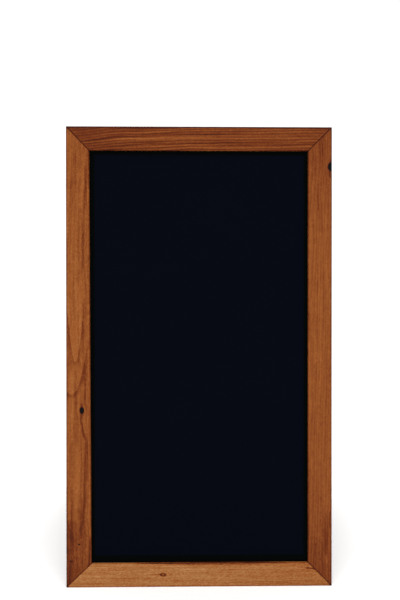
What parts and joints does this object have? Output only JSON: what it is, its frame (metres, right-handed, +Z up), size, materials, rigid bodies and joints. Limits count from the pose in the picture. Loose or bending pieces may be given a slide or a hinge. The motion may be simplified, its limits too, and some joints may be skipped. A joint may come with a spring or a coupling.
{
  "type": "menu chalkboard easel",
  "caption": "Folding double-sided pavement menu board: mitred stained-wood frames around black chalkboards, hinged at the top and held open by side chains.",
  "frame": {"origin": "on the ground, at the middle of the standing easel's footprint", "axes": "+Z up, -Y the way the front board faces, +X to the right of a person reading the front board"},
  "size_m": [0.61, 0.5164, 1.0286],
  "materials": {
    "stained_wood": "reddish-brown stained softwood, thin satin varnish",
    "pale_stained_wood": "lighter tan stained softwood, thin satin varnish",
    "bead_wood": "stained softwood bead, thin varnish",
    "biscuit": "unfinished compressed beech",
    "chalkboard": "hardboard with a matte blue-black chalkboard coating",
    "brass": "brass, slightly tarnished",
    "zinc_steel": "zinc-plated steel wire"
  },
  "bodies": {
    "front_board": {"front_top_rail": "stained_wood", "front_bottom_rail": "pale_stained_wood", "front_left_stile": "stained_wood", "front_right_stile": "stained_wood", "front_bead_top": "bead_wood", "front_bead_bottom": "bead_wood", "front_bead_left": "bead_wood", "front_bead_right": "bead_wood", "front_chalkboard": "chalkboard", "front_biscuit_top_left": "biscuit", "front_biscuit_top_right": "biscuit", "front_biscuit_bottom_left": "biscuit", "front_biscuit_bottom_right": "biscuit", "front_screw_eye_left": "zinc_steel", "front_screw_eye_right": "zinc_steel", "hinge_left_front_leaf": "brass", "hinge_left_front_screw_1": "brass", "hinge_left_front_screw_2": "brass", "hinge_left_front_screw_3": "brass", "hinge_left_pin": "brass", "hinge_right_front_leaf": "brass", "hinge_right_front_screw_1": "brass", "hinge_right_front_screw_2": "brass", "hinge_right_front_screw_3": "brass", "hinge_right_pin": "brass", "chain_left": "zinc_steel", "chain_right": "zinc_steel"},
    "rear_board": {"rear_top_rail": "stained_wood", "rear_bottom_rail": "pale_stained_wood", "rear_left_stile": "stained_wood", "rear_right_stile": "stained_wood", "rear_bead_top": "bead_wood", "rear_bead_bottom": "bead_wood", "rear_bead_left": "bead_wood", "rear_bead_right": "bead_wood", "rear_chalkboard": "chalkboard", "rear_biscuit_top_left": "biscuit", "rear_biscuit_top_right": "biscuit", "rear_biscuit_bottom_left": "biscuit", "rear_biscuit_bottom_right": "biscuit", "rear_screw_eye_left": "zinc_steel", "rear_screw_eye_right": "zinc_steel", "hinge_left_rear_leaf": "brass", "hinge_left_rear_screw_1": "brass", "hinge_left_rear_screw_2": "brass", "hinge_left_rear_screw_3": "brass", "hinge_right_rear_leaf": "brass", "hinge_right_rear_screw_1": "brass", "hinge_right_rear_screw_2": "brass", "hinge_right_rear_screw_3": "brass"}
  },
  "joints": [
    {"name": "fold", "type": "hinge", "parent": "front_board", "child": "rear_board", "pos_m": [0, 0, 1.02102], "axis": [-1, 0, 0], "range_deg": [0, 26], "deforming": ["chain_left", "chain_right"]}
  ]
}
